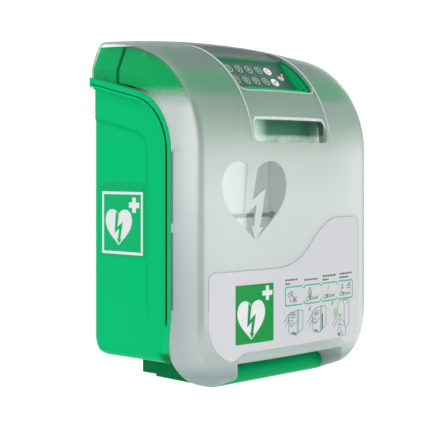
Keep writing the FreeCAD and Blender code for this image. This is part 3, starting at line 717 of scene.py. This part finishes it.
def make_stage():
    """A plain pale floor that curves up into a backdrop behind the cabinet."""
    bm = bmesh.new()
    size, floor_z, back = 9.0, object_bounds()[0][2] - FLOOR_DROP, 3.2
    foot = back - BACKDROP_BEND
    profile = [(-7.0, floor_z), (foot, floor_z)]
    for i in range(1, 13):
        angle = math.radians(90 * i / 12)
        profile.append((foot + BACKDROP_BEND * math.sin(angle),
                        floor_z + BACKDROP_BEND * (1 - math.cos(angle))))
    profile.append((back, 7.0))
    rows = [[bm.verts.new((x, y, z)) for y, z in profile] for x in (-size, size)]
    for i in range(len(profile) - 1):
        bm.faces.new((rows[0][i], rows[1][i], rows[1][i + 1], rows[0][i + 1]))
    bm.transform(Matrix.Rotation(VIEW_TURN, 4, "Z"))
    mesh = bpy.data.meshes.new("floor")
    bm.to_mesh(mesh)
    bm.free()
    n = Nodes("floor")
    paint = n.mix(n.noise(2.0), linear(250, 250, 250), linear(253, 253, 253))
    mesh.materials.append(n.finish(n.shade(Base_Color=paint, Roughness=0.8)))
    link(bpy.data.objects.new("floor", mesh))


def area_light(name, location, target, size, power, colour=(1, 1, 1)):
    data = bpy.data.lights.new(name, "AREA")
    data.shape = "RECTANGLE"
    data.size, data.size_y = size
    data.energy = power
    data.color = colour
    light = link(bpy.data.objects.new(name, data))
    light.location = location
    light.rotation_euler = (Vector(target) - Vector(location)).to_track_quat("-Z", "Y").to_euler()


def make_light():
    world = bpy.data.worlds.new("studio")
    world.use_nodes = True
    world.node_tree.nodes["Background"].inputs[0].default_value = (1, 1, 1, 1)
    world.node_tree.nodes["Background"].inputs[1].default_value = 0.80
    bpy.context.scene.world = world
    middle = (0, -0.1, 0)
    area_light("side_box", (-2.6, 0.1, 0.9), middle, (1.0, 1.4), 14)
    area_light("front_box", (1.70, -2.59, 0.10), (-0.10, -0.2, 0.03), (0.44, 1.7), 18)
    area_light("compartment_fill", tuple(place(0, 14, 235)), tuple(place(0, 190, 225)), (0.27, 0.20), 0.27)
    area_light("backdrop_light", (0.2, 0.9, 3.4), (1.6, 1.5, -0.4), (3.0, 2.0), 60)
    bpy.context.scene.view_settings.view_transform = "Standard"


make_camera()
make_stage()
make_light()


# ---------------------------------------------------------------- cover

def prism(loop, where, near, far):
    """A closed solid through a wall, from an outline laid near and far of its surface."""
    bm = bmesh.new()
    front = [bm.verts.new(where(a, b, near)) for a, b in loop]
    back = [bm.verts.new(where(a, b, far)) for a, b in loop]
    bm.faces.new(front)
    bm.faces.new(back[::-1])
    count = len(loop)
    for i in range(count):
        j = (i + 1) % count
        bm.faces.new((front[j], front[i], back[i], back[j]))
    bmesh.ops.recalc_face_normals(bm, faces=bm.faces[:])
    mesh = bpy.data.meshes.new("prism")
    bm.to_mesh(mesh)
    bm.free()
    return link(bpy.data.objects.new("prism", mesh))


def cut_mesh(source, tools, operation):
    """The source's mesh after a boolean with each tool in turn."""
    holder = link(bpy.data.objects.new("cut", source))
    for tool in tools:
        modifier = holder.modifiers.new("cut", "BOOLEAN")
        modifier.object = tool
        modifier.operation = operation
        modifier.solver = "EXACT"
    bpy.context.view_layer.update()
    evaluated = holder.evaluated_get(bpy.context.evaluated_depsgraph_get())
    mesh = bpy.data.meshes.new_from_object(evaluated)
    bpy.data.objects.remove(holder)
    return mesh


# Centre and half width of the heart window.
WINDOW_HEART = (-75.2, 256.0, 59.5)


def window_halves():
    """The heart window's clear areas, left and right of the frosted arrow."""
    outline = heart(*WINDOW_HEART)
    arrow = bolt_arrow(*WINDOW_HEART)
    top, low_left, inner_low, notch_left, barb_left, tip = arrow[:6]
    barb_right, notch_right, high_right, inner, apex = arrow[6:]
    count = len(outline) // 2
    right_side = outline[:count + 1]
    left_side = outline[count:]
    gap = 1.4
    right = [(apex[0] + gap, apex[1] - 2.0)]
    right += [p for p in right_side if p[0] > apex[0] + 2 * gap][:-1]
    right += [(tip[0] + gap, tip[1] - 1.5), barb_right, notch_right, high_right, inner]
    left_edge = [p for p in left_side if p[0] < top[0] - gap]
    left = [(tip[0] - gap, tip[1] - 1.5)] + left_edge
    left += [(top[0] - 0.3, top[1]), low_left, inner_low, notch_left, barb_left]
    return left, right


def make_cover():
    source = frame["nodes"]["cover_shell"].data.copy()
    halves = [prism(loop, on_front, 4.0, -8.0) for loop in window_halves()]
    body = cut_mesh(source, halves, "DIFFERENCE")
    body.materials.clear()
    shell = add_piece("cover_moulding", body, materials["cover_clear"], "cover")
    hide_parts("cover_shell")
    for side, tool in zip(("left", "right"), halves):
        mesh = cut_mesh(source, [tool], "INTERSECT")
        mesh.materials.clear()
        add_piece("heart_window_" + side, mesh, clear, "cover")
        bpy.data.objects.remove(tool)


def hood_angle(height):
    return math.degrees(math.asin((height - HOOD_H) / HOOD_R))


def make_ridges():
    # the ridges' pale colour is a painted highlight
    material = edge_light("ridge_plastic", 0.72, (226, 234, 230))
    for side, word in SIDES:
        points = [on_hood(side * RIDGE_X, angle, 0.4) for angle in range(5, 81, 3)]
        bead("ridge_" + word, points, 1.2, material, 0.25)


def make_bar_rim():
    """The thick rounded lower lip of the grip bar, which turns down at both ends of the slot."""
    half = GRIP_HALF - 1.0
    high, low = hood_angle(SLOT_HIGH), hood_angle(SLOT_LOW)
    drop = (high - low) / 3
    points = [on_hood(-half, high - drop, -1.6), on_hood(-half + 1.5, high - 0.35 * drop, -1.0)]
    points += [on_hood(-half + 7 + i * (2 * half - 14) / 16, high + 0.5, -0.6) for i in range(17)]
    points += [on_hood(half - 1.5, high - 0.35 * drop, -1.0), on_hood(half, high - drop, -1.6)]
    # the lip's pale colour is a painted highlight
    bead("grip_bar_lip", points, 2.2, edge_light("bar_lip", 0.88, (236, 242, 239)), 0.4)


def make_bar_top():
    """The bead along the top edge of the grip bar, which turns up into the ridges."""
    top = hood_angle(BAR_TOP)
    corner = [(-79.0, 12.0), (-76.5, 6.5), (-72.0, 2.2), (-66.0, 0.4)]
    points = corner + [(-66.0 + 12 * i, 0.2) for i in range(1, 11)]
    points += [(-x, rise) for x, rise in corner[::-1]]
    beads = [on_hood(x, top + math.degrees(rise / HOOD_R), -0.2) for x, rise in points]
    # the top bead's pale colour is a painted highlight
    bead("grip_bar_top", beads, 0.9, edge_light("bar_top", 0.7, (226, 236, 231)), 0.5)


def make_marks():
    """The two small moulded arrowheads that point at the grip bar."""
    middle = math.radians(hood_angle(362))
    for side, word in SIDES:
        def where(a, b, out, side=side):
            return on_hood(side * a, math.degrees(middle + b / HOOD_R), 0.1 + out)
        loop = [(86.5, 0.0), (93.0, 4.2), (93.0, -4.2)]
        film("grip_mark_" + word, [loop], where, ink["mark"], "cover", thick=0.6)


make_cover()
make_ridges()
make_bar_rim()
make_bar_top()
make_marks()

# ---------------------------------------------------------------- rim of the case


def rim_curve(step, far_step):
    """Line on the rim's side face from its foot to the wall.

    It runs step millimetres behind the cover's rear edge at first, and far_step from the bend on.
    """
    centre = FLANGE_DEPTH + PART_R
    points = [(FLANGE_DEPTH + step + 0.5, 82.0)]
    points += [(FLANGE_DEPTH + step, height) for height in (90, 160, 230)]
    for i in range(17):
        radius = PART_R - step - (far_step - step) * i / 16
        angle = math.radians(180 - (90 - PART_SLOPE) * i / 16)
        points.append((centre + radius * math.cos(angle), HOOD_H + radius * math.sin(angle)))
    end = points[-1]
    points.append((198.0, end[1] + (198.0 - end[0]) * math.tan(math.radians(PART_SLOPE))))
    return points


def make_rim_grooves():
    # painted shadow of the gap along the rim, laid as a dark film on its flat side face
    loop = rim_curve(7.2, 8.3) + rim_curve(10.2, 9.4)[::-1]
    for side, word in SIDES:
        def where(a, b, out, side=side):
            return place(side * (RIM_FACE + 0.02 + out), a, b)
        film("rim_groove_" + word, [loop], where, ink["groove"], "cabinet", thick=0.1)


make_rim_grooves()

# ---------------------------------------------------------------- label, signs and pictograms

def print_sign(name, field, shape, cross, colour, where, body):
    """The heart, arrow and cross on a coloured field, as films that meet edge to edge."""
    heart_loop, arrow_loop = heart(*shape), bolt_arrow(*shape)
    film(name + "_field", [field, heart_loop, cross], where, ink[colour], body)
    film(name + "_heart", [heart_loop, arrow_loop], where, ink["white"], body)
    film(name + "_arrow", [arrow_loop], where, ink[colour], body)
    film(name + "_cross", [cross], where, ink["white"], body)


def make_front_sign():
    left, low, wide, high = -111.8, 53.8, 69.8, 75.6
    shape = (left + 0.405 * wide, low + 0.52 * high, 0.36 * wide, 1.16)
    cross = plus(left + 0.83 * wide, low + 0.835 * high, 0.135 * wide, 0.045 * wide)
    print_sign("sign", rectangle(left, left + wide, low, low + high), shape, cross, "sign",
               on_label, "cover")


def make_side_sign(word, where, left):
    low, wide, high = 165.9, 78.6, 82.2
    edge = 0.045 * wide
    outer = rectangle(left, left + wide, low, low + high)
    inner = rectangle(left + edge, left + wide - edge, low + edge, low + high - edge)
    shape = (left + 0.414 * wide, low + 0.537 * high, 0.324 * wide, 1.07)
    cross = plus(left + 0.79 * wide, low + 0.79 * high, 0.125 * wide, 0.045 * wide)
    name = "side_sign_" + word
    film(name + "_frame", [outer, inner], where, ink["white"], "cabinet")
    print_sign(name, inner, shape, cross, "side_sign", where, "cabinet")


make_front_sign()
make_side_sign("left", on_left, -187.9)
make_side_sign("right", on_right, 109.3)


def curve_through(start, middle, end, steps=8):
    """Points of a parabola from start through middle, without its end."""
    control = [2 * middle[k] - (start[k] + end[k]) / 2 for k in (0, 1)]
    points = []
    for i in range(steps):
        t = i / steps
        u = 1 - t
        points.append(tuple(u * u * start[k] + 2 * u * t * control[k] + t * t * end[k] for k in (0, 1)))
    return points


def make_label_edge():
    line = [(-156.6, 100.0)] + curve_through((-156.6, 138.0), (-153.8, 144.8), (-147.0, 147.6))
    line += [(-147.0, 147.6)] + curve_through((-32.0, 147.6), (5.4, 155.7), (36.3, 177.7))
    line += curve_through((36.3, 177.7), (60.3, 197.7), (88.0, 210.6))
    line += [(88.0, 210.6)] + curve_through((142.0, 210.6), (148.8, 207.8), (151.6, 201.0)) + [(151.6, 110.0)]
    strokes("label_edge", [line], 0.7, ink["edge"])


make_label_edge()

# The strip of pictograms on the label: its left, right, low and high edges.
CHAIN = (-19.5, 136.5, 95.5, 122.0)
CHAIN_LINKS = 4


def chain_outline(inset):
    """The four-link strip: a rounded bar pinched in three places."""
    x0, x1, y0, y1 = CHAIN
    x0, x1, y0, y1 = x0 + inset, x1 - inset, y0 + inset, y1 - inset
    pitch = (x1 - x0) / CHAIN_LINKS
    pinch, deep = 3.2, 3.4
    corner = 3.0 - inset * 0.5
    top, low = [], []
    for i in (1, 2, 3):
        x = x0 + pitch * i
        top += [(x - pinch, y1), (x, y1 - deep), (x + pinch, y1)]
        low += [(x - pinch, y0), (x, y0 + deep), (x + pinch, y0)]
    return (
        [(x0, y0 + corner), (x0, y1 - corner), (x0 + 0.3 * corner, y1 - 0.3 * corner), (x0 + corner, y1)]
        + top
        + [(x1 - corner, y1), (x1 - 0.3 * corner, y1 - 0.3 * corner), (x1, y1 - corner), (x1, y0 + corner),
           (x1 - 0.3 * corner, y0 + 0.3 * corner), (x1 - corner, y0)]
        + low[::-1]
        + [(x0 + corner, y0), (x0 + 0.3 * corner, y0 + 0.3 * corner)]
    )


def make_chain_strip():
    label_film("chain_frame", [chain_outline(0.0), chain_outline(1.9)], ink["strip"])
    x0, x1, y0, _ = CHAIN
    pitch = (x1 - x0) / CHAIN_LINKS
    lines = []
    for i in range(1, 4):
        lines += lying_figure(x0 + pitch * i + 5.0, y0 + 4.5)
    lines += caller_figure(x0 + 5.0, y0 + 5.0)
    lines += helper_figure(x0 + pitch + 14.0, y0 + 11.0)
    lines += care_figure(x0 + 3 * pitch + 9.0, y0 + 9.0)
    strokes("chain_figures", lines, 1.0, ink["teal"])
    dots = [(x0 + 20.0, y0 + 8.2, 2.1)]
    dots += [(x0 + pitch * i + 14.0, y0 + 7.6, 1.7) for i in (1, 2, 3)]
    dots += [(x0 + 3 * pitch + 13.0, y0 + 16.0, 1.7), (x0 + 3 * pitch + 29.0, y0 + 19.5, 1.2)]
    red = [label_film(f"chain_dot_{i}", [disc(*dot)], ink["red"]) for i, dot in enumerate(dots)]
    join_pieces("chain_dots", red)
    bx, by = x0 + 2 * pitch + 15.0, y0 + 12.5
    zig = [(bx, by), (bx + 1.2, by + 4.4), (bx - 0.4, by + 4.2), (bx + 1.4, by + 10.2), (bx + 3.6, by + 10.4),
           (bx + 2.2, by + 6.2), (bx + 3.6, by + 6.4)]
    label_film("chain_bolt", [zig], ink["yellow"])


def lying_figure(x, y):
    """A person on their back."""
    return [
        [(x + 3.2, y + 0.4), (x + 0.6, y + 0.6), (x, y + 2.6), (x + 1.6, y + 4.6), (x + 4.4, y + 4.8),
         (x + 7.4, y + 5.6), (x + 13.0, y + 4.2), (x + 22.0, y + 3.2), (x + 25.6, y + 3.4)],
        [(x + 3.2, y + 0.4), (x + 12.0, y + 1.4), (x + 20.0, y + 1.8), (x + 25.6, y + 1.8),
         (x + 27.4, y + 6.2)],
    ]


def caller_figure(x, y):
    """A person with a telephone at one ear, and a box beside them."""
    head = disc(x + 8.5, y + 12.0, 2.6, 12)
    return [
        head + head[:1],
        [(x + 0.8, y + 9.2), (x + 3.0, y + 12.4), (x + 6.0, y + 11.6)],
        [(x + 0.8, y + 9.2), (x + 4.8, y + 7.8), (x + 6.0, y + 1.2), (x + 9.0, y + 0.2)],
        [(x + 7.4, y + 8.8), (x + 11.0, y + 8.0), (x + 12.2, y + 6.2)],
        [(x + 11.6, y + 0.0), (x + 11.4, y + 6.2), (x + 19.6, y + 6.6), (x + 19.8, y + 0.4), (x + 11.6, y)],
    ]


def helper_figure(x, y):
    """A person pressing down with both hands."""
    head = disc(x, y + 8.6, 2.2, 12)
    return [
        head + head[:1],
        [(x, y - 1.6), (x - 3.0, y + 1.2), (x - 3.6, y + 5.0), (x - 1.6, y + 6.2)],
        [(x, y - 1.6), (x + 3.0, y + 1.6), (x + 3.4, y + 5.2), (x + 1.6, y + 6.2)],
        [(x - 1.8, y + 4.4), (x, y - 1.0), (x + 1.8, y + 4.6)],
    ]


def care_figure(x, y):
    """A drip stand and a pair of figures."""
    head = disc(x + 20.4, y + 11.4, 1.7, 10)
    return [
        [(x, y - 2.0), (x, y + 10.0), (x + 2.2, y + 12.2), (x + 4.6, y + 10.0), (x + 4.4, y + 6.4)],
        head + head[:1],
        [(x + 15.0, y + 6.2), (x + 16.0, y + 9.6), (x + 19.0, y + 9.4), (x + 23.0, y + 8.8),
         (x + 23.6, y + 5.8)],
        [(x + 15.0, y + 6.2), (x + 19.0, y + 5.4), (x + 23.6, y + 5.8)],
    ]


def text_bars():
    """Plain bars in place of the small captions."""
    rows = []
    captions = ((-18.5, 129.3, (25.0, 9.0)), (21.0, 127.2, (29.0,)), (62.0, 129.6, (32.0, 13.0)),
                (103.0, 130.0, (31.0, 22.0)))
    for x, height, lengths in captions:
        for line, length in enumerate(lengths):
            at = x
            while at < x + length:
                word = min(random.uniform(3.0, 7.0), x + length - at)
                low = height - 5.0 * line
                rows.append(round_rectangle(at, at + max(word, 1.6), low, low + 2.3, 0.5, 2))
                at += word + 1.3
    bars = [label_film(f"caption_{i:02d}", [row], ink["grey"]) for i, row in enumerate(rows)]
    join_pieces("caption_bars", bars)


def cabinet_drawing(x, y, wide, high):
    """A small line drawing of the closed cabinet."""
    lean = 0.16 * wide
    return [
        [(x, y + 0.80 * high), (x + 0.02 * wide, y + 0.16 * high), (x + 0.12 * wide, y + 0.08 * high),
         (x + 0.50 * wide, y), (x + 0.58 * wide, y + 0.05 * high)],
        [(x, y + 0.80 * high), (x + 0.20 * wide, y + 0.93 * high), (x + 0.62 * wide, y + high),
         (x + 0.92 * wide, y + 0.99 * high), (x + wide, y + 0.94 * high)],
        [(x + 0.62 * wide, y + high), (x + 0.60 * wide, y + 0.75 * high), (x + 0.58 * wide, y + 0.05 * high)],
        [(x + 0.70 * wide, y + 0.98 * high), (x + 0.68 * wide, y + 0.70 * high),
         (x + 0.68 * wide, y + 0.10 * high)],
        [(x + wide, y + 0.94 * high), (x + wide, y + 0.24 * high), (x + 0.68 * wide, y + 0.10 * high),
         (x + 0.58 * wide, y + 0.05 * high)],
        [(x + 0.02 * wide, y + 0.42 * high), (x + 0.24 * wide, y + 0.36 * high),
         (x + 0.36 * wide, y + 0.44 * high), (x + 0.46 * wide, y + 0.52 * high),
         (x + 0.58 * wide, y + 0.54 * high)],
        [(x + 0.10 * wide + lean, y + 0.70 * high), (x + 0.46 * wide, y + 0.74 * high),
         (x + 0.50 * wide, y + 0.84 * high), (x + 0.24 * wide, y + 0.84 * high),
         (x + 0.10 * wide + lean, y + 0.70 * high)],
    ]


def hand_drawing(x, y, size):
    """Forearm and fingers that reach in from the left."""
    return [
        [(x - size, y - 0.70 * size), (x - 0.30 * size, y + 0.10 * size), (x + 0.30 * size, y + 0.34 * size),
         (x + 0.72 * size, y + 0.26 * size)],
        [(x - 0.78 * size, y - 1.10 * size), (x - 0.10 * size, y - 0.24 * size),
         (x + 0.20 * size, y - 0.16 * size), (x + 0.60 * size, y + 0.02 * size),
         (x + 0.72 * size, y + 0.26 * size)],
        [(x + 0.16 * size, y + 0.10 * size), (x + 0.52 * size, y + 0.16 * size)],
    ]


def small_heart_line(x, y, half):
    loop = heart(x, y, half)
    return loop + loop[:1]


def make_drawings():
    first = cabinet_drawing(-12.0, 56.0, 30.0, 33.0)
    first += hand_drawing(-9.0, 83.0, 13.0)
    first += [small_heart_line(-6.6, 74.5, 3.6)]
    second = cabinet_drawing(38.0, 54.5, 32.0, 36.0)
    second += hand_drawing(41.0, 79.0, 13.0)
    second += [small_heart_line(43.5, 72.0, 3.6)]
    third = [
        [(98.5, 90.0), (103.0, 94.0), (124.0, 94.5), (127.0, 92.0), (127.0, 60.0), (118.0, 55.0)],
        [(112.0, 94.0), (114.5, 86.0), (114.0, 66.0), (118.0, 55.0), (117.5, 46.0)],
        [(120.0, 94.0), (121.0, 88.0), (125.0, 92.0)],
        [(98.5, 90.0), (98.0, 82.0)],
        [(100.0, 63.0), (105.0, 67.0), (111.0, 66.0), (118.0, 57.0), (104.0, 61.0), (99.5, 62.0)],
        [(99.5, 62.0), (98.0, 47.0), (104.0, 50.0), (109.0, 44.5), (117.5, 46.0)],
        [(104.5, 61.0), (106.0, 52.0), (110.5, 47.0)],
    ]
    third += hand_drawing(98.0, 71.0, 13.0)
    strokes("opening_drawings", first + second + third, 0.8, ink["teal"])
    solid = [
        [(-6.0, 59.5), (3.0, 56.6), (4.2, 58.6), (-4.6, 61.6)],
        [(43.0, 58.2), (51.0, 55.8), (52.0, 57.6), (44.0, 60.2)],
        [(31.0, 87.0), (32.6, 90.6), (35.4, 92.6), (33.8, 88.8), (33.0, 86.0)],
        [(83.0, 90.2), (84.4, 93.2), (87.4, 95.0), (85.8, 91.2), (85.0, 89.0)],
        [(99.0, 45.8), (103.0, 44.4), (103.6, 48.6), (100.0, 49.4)],
    ]
    pieces = [label_film(f"drawing_solid_{i}", [loop], ink["teal"]) for i, loop in enumerate(solid)]
    join_pieces("drawing_solids", pieces)
    label_film("drawing_gap", [[(59.4, 57.0), (62.2, 59.0), (62.6, 80.0), (59.6, 80.4)]], ink["dark_green"])
    label_film("drawing_device", [round_rectangle(88.0, 99.0, 72.0, 84.0, 2.0)], ink["light_green"])


make_chain_strip()
text_bars()
make_drawings()


# ---------------------------------------------------------------- keypad print

def numeral(name, word, size, where, material, body):
    """One character printed on a key."""
    data = bpy.data.curves.new("text", "FONT")
    data.body = word
    data.size = size
    data.align_x = "CENTER"
    data.align_y = "CENTER"
    mesh = mesh_of(data)
    lay(mesh, where, INK)
    return add_piece(name, mesh, material, body)


def make_keys():
    names = ["1", "2", "3", "4", "5", "clear", "6", "7", "8", "9", "0", "enter"]
    for index, name in enumerate(names):
        x = FIRST_KEY_X + KEY_PITCH * (index % KEYS_ACROSS)
        along = ROW_PITCH * (0.5 - index // KEYS_ACROSS)
        body = frame_body("key_" + name)

        def where(a, b, out, x=x, along=along):
            return on_pad(x + a, along + b, KEY_PROUD + out)

        if name == "clear":
            numeral("print_clear", "C", 10.5, where, ink["red"], body)
        elif name == "enter":
            tick = stroke_outline([(-3.4, 0.2), (-0.8, -2.8), (3.6, 3.4)], 0.7)
            film("print_enter", [tick], where, ink["dark_green"], body)
        else:
            edges = [disc(0, 0, radius) for radius in KEY_RING]
            ring = film("ring_" + name, edges, where, ink["pale"], body)
            character = numeral("numeral_" + name, name, 9.5, where, ink["pale"], body)
            join_pieces("print_" + name, [ring, character])


def frame_body(node):
    """The body that a CAD node rides on."""
    return frame["nodes"][node]["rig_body"]


def make_pad_heart():
    def where(a, b, out):
        return on_pad(PAD_HEART_X + a, b, out)

    shape = (0.0, 0.0, 5.6)
    film("pad_heart", [heart(*shape), bolt_arrow(*shape)], where, ink["white"], "cabinet")
    film("pad_cross", [plus(7.0, 6.4, 2.2, 0.8)], where, ink["white"], "cabinet")


make_keys()
make_pad_heart()
